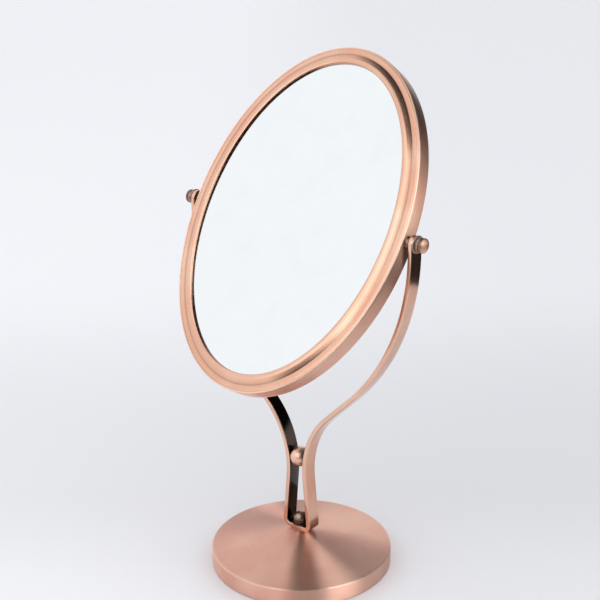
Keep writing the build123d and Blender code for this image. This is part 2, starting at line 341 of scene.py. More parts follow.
def copper(
    name, roughness, anisotropy, coat=1.0, coat_roughness=0.3, marks_along=3.0, marks_across=4000.0,
    bump=0.08, deep=COPPER_DEEP, light=COPPER_LIGHT, shade_and_patina=SHADE_AND_PATINA,
):
    """Brushed copper, darkened where "dark" says by patina and painted shade, and lightened where the wear
    attribute says by rubbed plating and a painted highlight.

    The noise in the brush marks and clouds stays mostly between 0.3 and 0.7.
    """
    material, n = new_material(name)
    brush = grain(n, marks_along, marks_across)
    tone = clouds(n, COPPER_CLOUD_SCALE)
    # "dark" paints patina and painted shade; the next attribute paints rubbed plating and a painted
    # highlight.
    dark = n.add("ShaderNodeAttribute", {"attribute_name": "dark"}).outputs["Fac"]
    wear_and_highlight = n.add("ShaderNodeAttribute", {"attribute_name": "wear_and_highlight"}).outputs["Fac"]

    plate = n.mix(n.spread(brush, 0.3, 0.7, 0.0, 1.0), deep, light)
    plate = n.mix(n.spread(tone, 0.35, 0.7, 0.0, WORN_IN_PLATE), plate, COPPER_PALE_AND_HIGHLIGHT)
    uneven = n.math("MULTIPLY", n.math("SUBTRACT", brush, 0.5), SHADE_AND_PATINA_UNEVENNESS)
    uneven = n.math("MULTIPLY", uneven, n.spread(dark, 0.0, 0.2, 0.0, 1.0))
    darkening = n.math("ADD", dark, uneven, clamp=True)
    dark_colour = n.mix(n.spread(tone, 0.3, 0.7, 0.0, WARM_IN_SHADE_AND_PATINA), shade_and_patina, SHADE_AND_PATINA_WARM)
    rubbed_and_highlight = n.math("MULTIPLY", wear_and_highlight, n.spread(brush, 0.25, 0.6, LEAST_WEAR_AND_HIGHLIGHT, 1.0))
    colour = n.mix(rubbed_and_highlight, n.mix(darkening, plate, dark_colour), COPPER_PALE_AND_HIGHLIGHT)

    low, high = roughness - COPPER_ROUGHNESS_SWING, roughness + COPPER_ROUGHNESS_SWING
    rough = n.spread(brush, 0.2, 0.8, low, high, smooth=False)
    rough = n.math("SUBTRACT", rough, n.math("MULTIPLY", darkening, SHADE_AND_PATINA_POLISH))
    marks = n.add("ShaderNodeBump", Strength=bump, Distance=MARK_DEPTH, Height=brush)
    tangent = n.add("ShaderNodeTangent", {"direction_type": "UV_MAP", "uv_map": "sweep"})
    surface(
        n, Base_Color=colour, Roughness=rough, Normal=marks.outputs[0], Tangent=tangent.outputs[0],
        Metallic=1.0, Anisotropic=anisotropy, Anisotropic_Rotation=0.25, Coat_Weight=coat,
        Coat_Roughness=coat_roughness,
    )
    return material


def plain(name, low, high, roughness, metallic=0.0, scale=400.0, bump=0.15, depth=0.05):
    """A fine-grained surface whose tone and polish vary a little: foam, board, nylon, zinc or iron."""
    material, n = new_material(name)
    fine = clouds(n, scale, detail=6.0)
    broad = clouds(n, scale / BROAD_CLOUDS)
    tone = n.math("ADD", n.math("MULTIPLY", fine, FINE_IN_TONE), n.math("MULTIPLY", broad, BROAD_IN_TONE))
    colour = n.mix(n.spread(tone, 0.35, 0.65, 0.0, 1.0), low, high)
    smooth, coarse = roughness - PLAIN_ROUGHNESS_SWING, roughness + PLAIN_ROUGHNESS_SWING
    rough = n.spread(tone, 0.3, 0.7, smooth, coarse, smooth=False)
    relief = n.add("ShaderNodeBump", Strength=bump, Distance=depth * MM, Height=fine)
    surface(n, Base_Color=colour, Roughness=rough, Normal=relief.outputs[0], Metallic=metallic)
    return material


def silvered(name):
    """Mirror glass: clear silver with the faintest smears and a cool tint."""
    material, n = new_material(name)
    smear = clouds(n, 55.0, detail=5.0)
    rough = n.spread(smear, 0.45, 0.8, *SILVER_ROUGHNESS, smooth=False)
    colour = n.mix(n.spread(smear, 0.4, 0.8, 0.0, 1.0), rgb(247, 251, 252), rgb(243, 248, 250))
    surface(n, Base_Color=colour, Roughness=rough, Metallic=1.0)
    return material


BRUSHED = copper("brushed_copper", roughness=0.23, anisotropy=0.88, coat=0.5, coat_roughness=0.26)
YOKE_COPPER = copper(
    "drawn_copper", roughness=0.17, anisotropy=0.8, coat=0.6, coat_roughness=0.14,
    deep=rgb(200, 143, 117), light=rgb(225, 169, 141),
)
WALL_COPPER = copper(
    "ring_brushed_copper", roughness=0.36, anisotropy=0.94, coat=0.6,
    deep=rgb(226, 166, 142), light=rgb(240, 186, 162),
)
BASE_COPPER = copper(
    "lathed_copper", roughness=0.43, anisotropy=0.97, coat=0.5, coat_roughness=0.4,
    marks_along=1.6, marks_across=9000.0, bump=0.02, deep=rgb(228, 168, 148), light=rgb(236, 182, 163),
)
TURNED = copper("turned_copper", roughness=0.34, anisotropy=0.3, marks_across=5000.0, bump=0.06)
BALL_COPPER = copper(
    "polished_copper", roughness=0.42, anisotropy=0.0, coat_roughness=0.36, marks_across=5000.0,
    bump=0.03, deep=rgb(236, 182, 154), light=rgb(252, 206, 178),
)
# A darker copy of the turned copper: painted shade for the hub between the rim and the arm.
TURNED_SHADED = copper(
    "turned_copper_painted_shade", roughness=0.34, anisotropy=0.3, marks_across=5000.0, bump=0.06,
    deep=rgb(160, 122, 108), light=rgb(192, 152, 134), shade_and_patina=rgb(56, 50, 48),
)
# The thumb nuts' copper: the dark colour paints shade on the ring, the groove, the sides and the rim of the
# face.
KNOB_COPPER = copper(
    "knob_copper_painted_shade", roughness=0.48, anisotropy=0.2, marks_across=5000.0, bump=0.05,
    deep=rgb(240, 176, 140), light=rgb(255, 204, 170), shade_and_patina=rgb(52, 48, 46),
)
BRONZE = copper(
    "dark_bronze", roughness=0.38, anisotropy=0.1, coat_roughness=0.32, bump=0.12,
    deep=rgb(124, 92, 74), light=rgb(164, 126, 104),
)
WASHER = copper(
    "dull_bronze", roughness=0.5, anisotropy=0.1, coat_roughness=0.4, bump=0.1,
    deep=rgb(148, 118, 114), light=rgb(180, 148, 142),
)
SILVER = silvered("mirror_silver")
ZINC = plain("zinc_plate", rgb(150, 152, 156), rgb(184, 186, 190), 0.35, metallic=1.0, scale=900.0)
IRON = plain("painted_iron", rgb(30, 30, 32), rgb(48, 48, 50), 0.6, scale=260.0, bump=0.4, depth=0.2)
FOAM = plain("foam_sheet", rgb(28, 28, 29), rgb(46, 46, 47), 0.9, scale=1400.0, bump=0.6, depth=0.15)
BOARD = plain("pressed_board", rgb(168, 158, 138), rgb(190, 180, 160), 0.8, scale=700.0, bump=0.3)
NYLON = plain("dark_nylon", rgb(24, 20, 20), rgb(40, 34, 33), 0.4, scale=800.0, bump=0.1)

# ---------------------------------------------------------------- base

BASE_RADIUS = 58.75
BASE_EDGE_HEIGHT = 11.3
BASE_TOP_HEIGHT = 22.0
BASE_FLAT_RADIUS = 6.8
BASE_SKIN = 1.2
BASE_LIFT = 0.5
BASE_RIM_ROUNDING = 0.7
BASE_FLAT_ROUNDING = 0.6
BASE_FOOT_ROUNDING = 0.3
BASE_STEPS = 288
RIM_WEAR_AND_HIGHLIGHT = 0.6
RIM_HIGHLIGHT_WIDTH = 0.6
RIM_HIGHLIGHT_DEPTH = 1.0
BOLT_HOLE = 2.6
PAD_RADIUS = 54.75
PAD_THICKNESS = 1.2
PAD_STEPS = 160

cone_fall = (BASE_TOP_HEIGHT - BASE_EDGE_HEIGHT) / (BASE_RADIUS - BASE_FLAT_RADIUS)


def cone_height(radius):
    """Height of the base's upper skin at a radius."""
    return BASE_TOP_HEIGHT - cone_fall * (radius - BASE_FLAT_RADIUS)


def base_shell():
    """The pressed base: a shallow cone, a small rounded rim and a straight edge, hollow underneath."""
    inner = BASE_RADIUS - BASE_SKIN
    near_edge = BASE_RADIUS - 2 * BASE_RIM_ROUNDING
    below_rim = BASE_EDGE_HEIGHT - BASE_SKIN
    outline = rounded(
        [
            (BOLT_HOLE, BASE_TOP_HEIGHT, 0),
            (BASE_FLAT_RADIUS, BASE_TOP_HEIGHT, BASE_FLAT_ROUNDING),
            (near_edge, cone_height(near_edge), 0),
            (BASE_RADIUS, BASE_EDGE_HEIGHT, BASE_RIM_ROUNDING),
            (BASE_RADIUS, below_rim, 0),
            (BASE_RADIUS, BASE_LIFT, BASE_FOOT_ROUNDING),
            (inner, BASE_LIFT, BASE_FOOT_ROUNDING),
            (inner, cone_height(inner) - BASE_SKIN, 0),
            (BASE_FLAT_RADIUS, BASE_TOP_HEIGHT - BASE_SKIN, 0),
            (BOLT_HOLE, BASE_TOP_HEIGHT - BASE_SKIN, 0),
        ],
        segments=6,
    )
    # The top of the rim is lightened: rubbed plating and a painted highlight.
    wear_and_highlight = []
    for r, h in outline:
        on_rim = BASE_RADIUS - RIM_HIGHLIGHT_WIDTH < r < BASE_RADIUS and h > BASE_EDGE_HEIGHT - RIM_HIGHLIGHT_DEPTH
        wear_and_highlight.append(RIM_WEAR_AND_HIGHLIGHT if on_rim else 0.0)
    lathe_piece(
        "base_shell_skin", outline, ORIGIN, UP, BASE_COPPER, "stand", "base_shell",
        steps=BASE_STEPS, wear_and_highlight=wear_and_highlight,
    )


def base_pad():
    """The soft sheet under the base."""
    outline = rounded(
        [(0.0, 0.0, 0), (0.0, PAD_THICKNESS, 0), (PAD_RADIUS, PAD_THICKNESS, 0.3), (PAD_RADIUS, 0.0, 0.4)]
    )
    lathe_piece(
        "base_pad_sheet", outline, ORIGIN, UP, FOAM, "stand", "base_pad", steps=PAD_STEPS
    )


base_shell()
base_pad()

# ---------------------------------------------------------------- collar, cap nut and ball

COLLAR_RADIUS = 6.6
COLLAR_HEIGHT = 1.0
COLLAR_SHADE = 0.45
STRAP_WIDTH = 9.6
STRAP_THICKNESS = 3.0
NUT_WASHER_RADIUS = 6.0
NUT_WASHER_THICKNESS = 0.8
NUT_WASHER_SHADE = 0.6
NUT_RADIUS = 5.0
NUT_SKIRT = 2.4
NUT_BORE = 5.2
NUT_CHAMFER = 0.3
NUT_DARK_TO = 0.8
NUT_DULL_TO = 2.4
NUT_DARK = 0.8
NUT_DULL = 0.25
SMALL_STEPS = 96
BALL_HEIGHT = 73.8
BALL_RADIUS = 6.6
BALL_SEAT = 5.56
BALL_SEAT_LEAN = radians(8.15)
BALL_UNSHADED_HALF = 3.6
BALL_SHADE_RUN = 2.0
BALL_SHADE = 0.7

yoke_bottom = BASE_TOP_HEIGHT + COLLAR_HEIGHT
yoke_floor = yoke_bottom + STRAP_THICKNESS
nut_bottom = yoke_floor + NUT_WASHER_THICKNESS
dome_start = nut_bottom + NUT_SKIRT


def cap_nut_shade(height):
    """Painted shade: the skirt and the foot of the dome are dark, and the dome gets lighter towards its top.
    """
    if height < dome_start + NUT_DARK_TO:
        return NUT_DARK
    return NUT_DULL if height < dome_start + NUT_DULL_TO else 0.0


def foot_pieces():
    """The collar under the yoke, and the washer and domed nut inside its foot."""
    outline = ring_outline(BASE_TOP_HEIGHT, yoke_bottom, COLLAR_RADIUS, BOLT_HOLE)
    # The collar is darkened under the yoke: painted shade.
    lathe_piece(
        "stem_collar_ring", outline, ORIGIN, UP, TURNED, "stand", "stem_collar",
        dark=[COLLAR_SHADE] * len(outline),
    )
    outline = ring_outline(yoke_floor, nut_bottom, NUT_WASHER_RADIUS, BOLT_HOLE)
    # The washer is darkened inside the yoke's foot: painted shade.
    lathe_piece(
        "cap_nut_seat", outline, ORIGIN, UP, BRONZE, "stand", "cap_nut_washer",
        dark=[NUT_WASHER_SHADE] * len(outline),
    )
    bore = [(0.0, nut_bottom + NUT_BORE), (BOLT_HOLE, nut_bottom + NUT_BORE), (BOLT_HOLE, nut_bottom)]
    skirt = [(NUT_RADIUS - NUT_CHAMFER, nut_bottom), (NUT_RADIUS, nut_bottom + NUT_CHAMFER)]
    angles = [radians(a) for a in range(0, 91, 5)]
    dome = [(NUT_RADIUS * cos(angle), dome_start + NUT_RADIUS * sin(angle)) for angle in angles]
    outline = bore + skirt + dome
    lathe_piece(
        "cap_nut_dome", outline, ORIGIN, UP, BRONZE, "stand", "cap_nut",
        steps=SMALL_STEPS, dark=[cap_nut_shade(height) for radius, height in outline],
    )


def spacer_ball():
    """The ball between the arms, turned along X, with flat seats that lean with the arms."""
    centre = Vector((0, 0, BALL_HEIGHT)) * MM
    angles = [radians(a) for a in range(0, 181, 4)]
    outline = [(BALL_RADIUS * sin(angle), -BALL_RADIUS * cos(angle)) for angle in angles]
    # Painted shade on both ends of the ball, where it meets the arms.
    beyond = [(abs(along) - BALL_UNSHADED_HALF) / BALL_SHADE_RUN for radius, along in outline]
    dark = [BALL_SHADE * min(1.0, max(0.0, share)) for share in beyond]
    mesh = lathe("spacer_ball_turned", outline, centre, HEAD_ACROSS, SMALL_STEPS, dark=dark)
    edit = bmesh.new()
    edit.from_mesh(mesh)
    bmesh.ops.remove_doubles(edit, verts=edit.verts, dist=SAME_POINT)
    for side in (-1, 1):
        cut = bmesh.ops.bisect_plane(
            edit,
            geom=edit.verts[:] + edit.edges[:] + edit.faces[:],
            plane_co=centre + Vector((side * BALL_SEAT * MM, 0, 0)),
            plane_no=Vector((side * cos(BALL_SEAT_LEAN), 0, -sin(BALL_SEAT_LEAN))),
            clear_outer=True,
        )
        rim = [e for e in cut["geom_cut"] if isinstance(e, bmesh.types.BMEdge)]
        bmesh.ops.contextual_create(edit, geom=rim)
    edit.to_mesh(mesh)
    edit.free()
    finished(
        "spacer_ball_turned", mesh, BALL_COPPER, "stand", "spacer_ball",
        smooth_angle=SMOOTH_ANGLE_WIDE,
    )


foot_pieces()
spacer_ball()

# ---------------------------------------------------------------- yoke

PIVOT_HEIGHT = PIVOT.z / MM
ARM_REACH = 85.9
STRAP_EDGE = 0.5
FOOT_CORNER = (9.94, yoke_bottom + STRAP_THICKNESS / 2)
WAIST_CORNER = (4.3, 88.2)
SHOULDER_CORNER = (ARM_REACH, 166.4)
BENDS = (3.6, 58.0, 139.5)
BEND_STEP = radians(2.0)
RUN_STEP = 6.0
EYE_ANGLES = (12, 24, 36, 48, 58, 67, 75, 82, 87)
INSIDE_SHADE = 1.0
INSIDE_DEPTH = 0.12
EDGE_WEAR_AND_HIGHLIGHT = 0.35
EDGE_HIGHLIGHT_DEPTH = 0.45


def straight(start, end):
    """Points along a straight run, without its start."""
    pieces = max(1, round((end - start).length / RUN_STEP))
    return [start.lerp(end, k / pieces) for k in range(1, pieces + 1)]


def bent_line(corners, radii):
    """Points along a line of straight runs joined by arcs, in the XZ plane."""
    corners = [Vector(corner) for corner in corners]
    points = [corners[0]]
    for i, radius in enumerate(radii, start=1):
        centre, start, end, first, turn = corner_arc(corners[i - 1], corners[i], corners[i + 1], radius)
        points += straight(points[-1], start)
        steps = max(4, round(abs(turn) / BEND_STEP))
        for k in range(1, steps + 1):
            angle = first + turn * k / steps
            points.append(centre + Vector((cos(angle), sin(angle))) * radius)
    return points + straight(points[-1], corners[-1])


def strap_section(half_width):
    """Points (towards the inside of the yoke, towards the front) round the flat bar's rounded section."""
    half = STRAP_THICKNESS / 2
    corners = [(half, -half_width), (half, half_width), (-half, half_width), (-half, -half_width)]
    return rounded([(inwards, forwards, STRAP_EDGE) for inwards, forwards in corners], 4)


def yoke():
    """The bent flat bar: each arm ends in a half-round eye, the inside faces are dark with painted shade, and
    the narrow edges are lightened by rubbed plating and a painted highlight.
    """
    arm = [FOOT_CORNER, WAIST_CORNER, SHOULDER_CORNER, (ARM_REACH, PIVOT_HEIGHT)]
    line = bent_line([(-x, z) for x, z in reversed(arm)] + arm, [*reversed(BENDS), *BENDS])
    half_width, half_thickness = STRAP_WIDTH / 2, STRAP_THICKNESS / 2
    eye_angles = [radians(angle) for angle in EYE_ANGLES]
    tips = [(half_width * sin(angle), half_width * cos(angle)) for angle in eye_angles]
    stations = [(Vector((-ARM_REACH, PIVOT_HEIGHT + rise)), width) for rise, width in reversed(tips)]
    stations += [(place, half_width) for place in line]
    stations += [(Vector((ARM_REACH, PIVOT_HEIGHT + rise)), width) for rise, width in tips]
    rings = []
    for i, (place, width) in enumerate(stations):
        before = stations[max(i - 1, 0)][0]
        after = stations[min(i + 1, len(stations) - 1)][0]
        direction = (after - before).normalized()
        inside = Vector((-direction.y, direction.x))
        ring = []
        for inwards, forwards in strap_section(width):
            ring.append(Vector((place.x + inside.x * inwards, -forwards, place.y + inside.y * inwards)) * MM)
        rings.append(ring)
    # Painted shade on the inside faces, and the narrow edges lightened by rubbed plating and a painted
    # highlight.
    dark = []
    wear_and_highlight = []
    for inwards, forwards in strap_section(half_width):
        dark.append(INSIDE_SHADE if inwards > half_thickness - INSIDE_DEPTH else 0.0)
        off_face = abs(inwards) < half_thickness - ON_SURFACE
        wear_and_highlight.append(EDGE_WEAR_AND_HIGHLIGHT if off_face and abs(forwards) > half_width - EDGE_HIGHLIGHT_DEPTH else 0.0)
    mesh = swept_mesh("yoke_bar", rings, closed_path=False, cap_ends=True, dark=dark, wear_and_highlight=wear_and_highlight)
    finished("yoke_bar", mesh, YOKE_COPPER, "stand", "yoke")


yoke()

# ---------------------------------------------------------------- mirror head

HALF_WIDTH = 81.2
HALF_HEIGHT = 110.7
BAND_THICKNESS = 1.2
BAND_HALF_DEPTH = 5.5
BAND_EDGE = 0.6
BAND_INNER_EDGE = 0.1
BAND_HIGHLIGHT_DEPTH = 0.5
BAND_HIGHLIGHT_WIDTH = 0.7
BEZEL_START = 1.25
BEZEL_WIDTH = 11.1
LIP_OVERLAP = 3.7
GLASS_FACE = 5.2
FRONT_GLASS = 2.5
REAR_GLASS = 2.0
GLASS_RINGS = 20
GLASS_STEPS = 256
MAGNIFIER_RADIUS = 1600.0

# The bezel's section, as (inwards from the wall, forwards). The crease is where the sloped band ends, the
# knee where the bead begins, and the crest the bead's highest line.
BAND_LINE = [(BEZEL_START, 5.42), (BEZEL_START + 0.25, 5.5), (1.9, 5.52), (2.5, 5.51), (3.2, 5.47)]
LEVEL = (3.8, 5.42)
CREASE = (4.9, 5.48)
KNEE = (7.7, 6.76)
CREST = (9.5, 7.0)
BEAD_END = (10.8, 6.76)
LIP_LINE = [(10.97, 6.64), (11.07, 6.44), (BEZEL_WIDTH, 6.2)]
SEAM = GLASS_FACE + 0.02
UNDERSIDE = [(10.2, SEAM), (10.2, 5.85), (8.4, 5.9), (5.9, 4.6), (2.15, 4.5), (2.15, 1.0), (BEZEL_START, 1.0)]
CREASE_TILT = radians(27.0)
KNEE_TILT = radians(22.0)

# Where the bezel is dark: painted shade at the seam by the glass, on the hidden faces and on the lip, and
# patina with painted shade in the crease and the valley. More than 1 leaves no bright grain in the dark.
HIDDEN_SHADE = 1.3
HIDDEN_BELOW = 5.0
LIP_WALL_SHADE = 0.45
LIP_EDGE_SHADE = 0.4
LIP_EDGE_START = 10.75
LIP_EDGE_BOTTOM = 6.3
CREASE_SHADE_AND_PATINA = 0.26
CREASE_SPREAD = 0.8
VALLEY_SHADE_AND_PATINA = 0.14
VALLEY_MIDDLE = 5.2
VALLEY_SPREAD = 2.2
VALLEY_END = 8.0
CREST_WEAR_AND_HIGHLIGHT = 0.1
CREST_HIGHLIGHT_START = 8.6
CREST_HIGHLIGHT_END = 10.0
CREST_HIGHLIGHT_DEPTH = 0.2


def rim_band():
    """The oval side wall, brushed round, with its edges lightened by rubbed plating and a painted highlight.
    """
    outline = rounded(
        [
            (0.0, -BAND_HALF_DEPTH, BAND_EDGE),
            (0.0, BAND_HALF_DEPTH, BAND_EDGE),
            (BAND_THICKNESS, BAND_HALF_DEPTH, BAND_INNER_EDGE),
            (BAND_THICKNESS, -BAND_HALF_DEPTH, BAND_INNER_EDGE),
        ],
        segments=6,
    )
    wear_and_highlight = []
    for r, d in outline:
        on_edge = abs(d) > BAND_HALF_DEPTH - BAND_HIGHLIGHT_DEPTH and r < BAND_HIGHLIGHT_WIDTH
        wear_and_highlight.append(1.0 if on_edge else 0.0)
    mesh = around_head("rim_wall", outline, wear_and_highlight=wear_and_highlight)
    finished("rim_wall", mesh, WALL_COPPER, "mirror_head", "rim_band")


def bezel_outline():
    """The bezel's section, from its outer edge: sloped band, valley, rounded bead, lip and hidden skirt."""
    steep, easy = tan(CREASE_TILT), tan(KNEE_TILT)
    valley = curve(LEVEL, (CREASE[0] - (CREASE[1] - LEVEL[1]) / steep, LEVEL[1]), CREASE, 8)
    bow = (KNEE[1] - CREASE[1] + CREASE[0] * steep - KNEE[0] * easy) / (steep - easy)
    flank = curve(CREASE, (bow, CREASE[1] + (bow - CREASE[0]) * steep), KNEE, 12)
    bead = curve(KNEE, (KNEE[0] + (CREST[1] - KNEE[1]) / easy, CREST[1]), CREST, 12)
    inside = curve(CREST, (10.3, CREST[1]), BEAD_END, 6)
    wall = [(BEZEL_WIDTH, SEAM + 0.15), (BEZEL_WIDTH, SEAM)]
    return BAND_LINE + valley + flank[1:] + bead[1:] + inside[1:] + LIP_LINE + wall + UNDERSIDE


def bezel_shade_and_patina(r, d):
    """How dark the bezel is: painted shade fully on the seam and the hidden faces and partly on the lip, and
    patina with painted shade partly in the valley.
    """
    if r > BEZEL_WIDTH - ON_SURFACE:
        return LIP_WALL_SHADE if d > SEAM else HIDDEN_SHADE
    if d < HIDDEN_BELOW:
        return HIDDEN_SHADE
    if r > LIP_EDGE_START and d > LIP_EDGE_BOTTOM:
        return LIP_EDGE_SHADE
    if r > VALLEY_END:
        return 0.0
    in_crease = max(0.0, 1.0 - abs(r - CREASE[0]) / CREASE_SPREAD)
    in_valley = max(0.0, 1.0 - abs(r - VALLEY_MIDDLE) / VALLEY_SPREAD)
    return CREASE_SHADE_AND_PATINA * in_crease + VALLEY_SHADE_AND_PATINA * in_valley


def bezel_wear_and_highlight(r, d):
    """The bead's crest is lightened a little, as rubbed plating and a painted highlight."""
    on_crest = CREST_HIGHLIGHT_START < r < CREST_HIGHLIGHT_END and d > CREST[1] - CREST_HIGHLIGHT_DEPTH
    return CREST_WEAR_AND_HIGHLIGHT if on_crest else 0.0


def bezel(name, node, facing):
    """A pressed ring with its dark groove and its lip. facing is 1 for the front and -1 for the back."""
    outline = bezel_outline()
    dark = [bezel_shade_and_patina(r, d) for r, d in outline]
    wear_and_highlight = [bezel_wear_and_highlight(r, d) for r, d in outline]
    mesh = around_head(name, [(r, facing * d) for r, d in outline], dark=dark, wear_and_highlight=wear_and_highlight)
    finished(name, mesh, BRUSHED, "mirror_head", node)


def glass(name, node, thickness, facing, sag=lambda radius: 0.0):
    """An oval glass in rings of points out from its middle. sag is how far it sinks inwards at a radius."""
    half_width = HALF_WIDTH - BEZEL_WIDTH + LIP_OVERLAP
    half_height = HALF_HEIGHT - BEZEL_WIDTH + LIP_OVERLAP
    shares = [k / GLASS_RINGS for k in range(GLASS_RINGS + 1)]
    section = [(share, GLASS_FACE) for share in shares]
    section += [(share, GLASS_FACE - thickness) for share in reversed(shares)]
    rings = []
    for i in range(GLASS_STEPS):
        t = 2 * pi * i / GLASS_STEPS
        ring = []
        for share, level in section:
            x, y = half_width * cos(t) * share, half_height * sin(t) * share
            depth = (level - sag(hypot(x, y))) * facing
            ring.append(PIVOT + (HEAD_ACROSS * x + HEAD_UP * y + HEAD_FRONT * depth) * MM)
        rings.append(ring)
    mesh = swept_mesh(name, rings, closed_ring=False)
    finished(name, mesh, SILVER, "mirror_head", node, smooth_angle=SMOOTH_ANGLE_WIDE)


def magnifier_sag(radius):
    """How far the hollow glass sinks inwards at a radius, from the level of the oval's tips."""
    tip = HALF_HEIGHT - BEZEL_WIDTH + LIP_OVERLAP
    return sqrt(MAGNIFIER_RADIUS**2 - radius**2) - sqrt(MAGNIFIER_RADIUS**2 - tip**2)


rim_band()
bezel("front_bezel_ring", "front_bezel", 1)
bezel("rear_bezel_ring", "rear_bezel", -1)
glass("front_mirror", "front_glass", FRONT_GLASS, 1)
glass("rear_mirror", "magnifying_glass", REAR_GLASS, -1, magnifier_sag)

# ---------------------------------------------------------------- tilt pivots and thumb nuts

LOOSE_BORE = 2.05
GAP = 0.05
FLANGE_START = 77.6
FLANGE_END = 79.75
FLANGE_RADIUS = 4.3
HUB_RADIUS = 3.55
HUB_END = 83.7
HUB_SHADE = 0.6
FRICTION_RADIUS = 4.1
THRUST_RADIUS = 5.2
THRUST_THICKNESS = 0.8
THRUST_SHADE = 0.1
CONE_RADIUS = 3.7
CONE_HEIGHT = 0.9
CONE_METAL = 0.5
KNOB_RADIUS = 4.4
KNOB_EDGE = 1.0
KNOB_NECK = 0.4
KNOB_CHAMFER = 0.12
KNOB_FOOT = 0.3
KNOB_FOOT_MIDDLE = (0.1, 0.08)
KNOB_GROOVE_CORNER = 0.05
EDGE_TURN = 62
ARC_PIECES = 8
KNOB_RING_SHADE = 0.6
KNOB_GROOVE_SHADE = 1.0
KNOB_SIDE_SHADE = 0.8
KNOB_SIDE_PAST_SHOULDER = 0.35
KNOB_RIM_SHADE = 0.5
KNOB_RIM_POWER = 6
NUT_RING = 1.5
NUT_GROOVE = 0.4
NUT_CAP = 0.99
NUT_BORE_END = 92.4

eye_inner = ARM_REACH - STRAP_THICKNESS / 2
eye_outer = ARM_REACH + STRAP_THICKNESS / 2
thrust_end = eye_outer + THRUST_THICKNESS
spring_end = thrust_end + CONE_HEIGHT
nut_start = spring_end + GAP
groove_start = nut_start + NUT_RING
cap_start = groove_start + NUT_GROOVE
shoulder = cap_start + NUT_CAP


def knob_outline():
    """The thumb nut's section: blind bore, ring, dark groove, rounded edge and domed face."""
    edge_turns = [radians(k * EDGE_TURN / ARC_PIECES) for k in range(ARC_PIECES + 1)]
    edge = []
    for turn in edge_turns:
        edge.append((KNOB_RADIUS - KNOB_EDGE * (1 - cos(turn)), shoulder + KNOB_EDGE * sin(turn)))
    face_radius = edge[-1][0] / cos(edge_turns[-1])
    face_centre = edge[-1][1] - face_radius * sin(edge_turns[-1])
    face = []
    for k in range(1, ARC_PIECES + 1):
        turn = radians(EDGE_TURN + (90 - EDGE_TURN) * k / ARC_PIECES)
        face.append((face_radius * cos(turn), face_centre + face_radius * sin(turn)))
    neck = KNOB_RADIUS - KNOB_NECK
    chamfered = KNOB_RADIUS - KNOB_CHAMFER
    bore = [(0.0, NUT_BORE_END), (LOOSE_BORE, NUT_BORE_END), (LOOSE_BORE, nut_start)]
    foot = [
        (KNOB_RADIUS - KNOB_FOOT, nut_start),
        (KNOB_RADIUS - KNOB_FOOT_MIDDLE[0], nut_start + KNOB_FOOT_MIDDLE[1]),
        (KNOB_RADIUS, nut_start + KNOB_FOOT),
    ]
    groove = [
        (KNOB_RADIUS, groove_start - KNOB_CHAMFER), (chamfered, groove_start),
        (neck, groove_start + KNOB_GROOVE_CORNER), (neck, cap_start - KNOB_GROOVE_CORNER),
        (chamfered, cap_start), (KNOB_RADIUS, cap_start + KNOB_CHAMFER),
    ]
    return bore + foot + groove + edge + face


def knob_shade(radius, height):
    """How dark the thumb nut is, as painted shade: the groove most, then its sides, and the middle of its
    face not at all.
    """
    if height < groove_start - ON_SURFACE:
        return KNOB_RING_SHADE
    if height < cap_start + ON_SURFACE:
        return KNOB_GROOVE_SHADE
    if height < shoulder + KNOB_SIDE_PAST_SHOULDER:
        return KNOB_SIDE_SHADE
    return KNOB_RIM_SHADE * (radius / KNOB_RADIUS) ** KNOB_RIM_POWER


def pivot(side, name):
    """The hub, washers and thumb nut on one side, turned about the tilt axis."""
    axis = Vector((side, 0, 0))
    here = Vector((0, 0, PIVOT.z))
    hub = rounded(
        [
            (LOOSE_BORE, FLANGE_START, 0), (FLANGE_RADIUS, FLANGE_START, 0.1),
            (FLANGE_RADIUS, FLANGE_END, 0.1), (HUB_RADIUS, FLANGE_END, 0),
            (HUB_RADIUS, HUB_END, 0.3), (LOOSE_BORE, HUB_END, 0),
        ],
        segments=4,
    )
    # The hub is darkened with painted shade, where it sits between the rim and the arm.
    lathe_piece(
        f"{name}_hub", hub, here, axis, TURNED_SHADED, "mirror_head", f"{name}_pivot_boss",
        dark=[HUB_SHADE] * len(hub),
    )
    friction = ring_outline(HUB_END + GAP, eye_inner, FRICTION_RADIUS, LOOSE_BORE, 0.1)
    lathe_piece(
        f"{name}_friction_ring", friction, here, axis, NYLON, "stand", f"{name}_friction_washer"
    )
    thrust = ring_outline(eye_outer, thrust_end, THRUST_RADIUS, LOOSE_BORE, 0.2)
    # The thrust washer is darkened a little between the arm and the nut: painted shade.
    lathe_piece(
        f"{name}_thrust_ring", thrust, here, axis, WASHER, "stand", f"{name}_thrust_washer",
        dark=[THRUST_SHADE] * len(thrust),
    )
    spring = [
        (CONE_RADIUS, thrust_end), (CONE_RADIUS, thrust_end + CONE_METAL),
        (LOOSE_BORE, spring_end), (LOOSE_BORE, spring_end - CONE_METAL),
    ]
    lathe_piece(
        f"{name}_cone_washer", spring, here, axis, ZINC, "stand", f"{name}_spring_washer",
    )
    knob = knob_outline()
    lathe_piece(
        f"{name}_knob", knob, here, axis, KNOB_COPPER, f"{name}_thumb_nut", f"{name}_thumb_nut",
        steps=SMALL_STEPS, dark=[knob_shade(r, h) for r, h in knob],
    )


pivot(-1, "left")
pivot(1, "right")

# ---------------------------------------------------------------- inner parts that stay CAD nodes

KEPT = {
    ZINC: (
        "base_bolt", "base_bolt_washer", "base_lock_washer",
        "ball_pin", "left_pivot_screw", "right_pivot_screw",
    ),
    IRON: ("base_weight",),
    FOAM: ("edge_foam",),
    BOARD: ("backing_board",),
}
for kept_material, kept_nodes in KEPT.items():
    for node_name in kept_nodes:
        data = frame["nodes"][node_name].data
        data.materials.clear()
        data.materials.append(kept_material)

# ---------------------------------------------------------------- studio

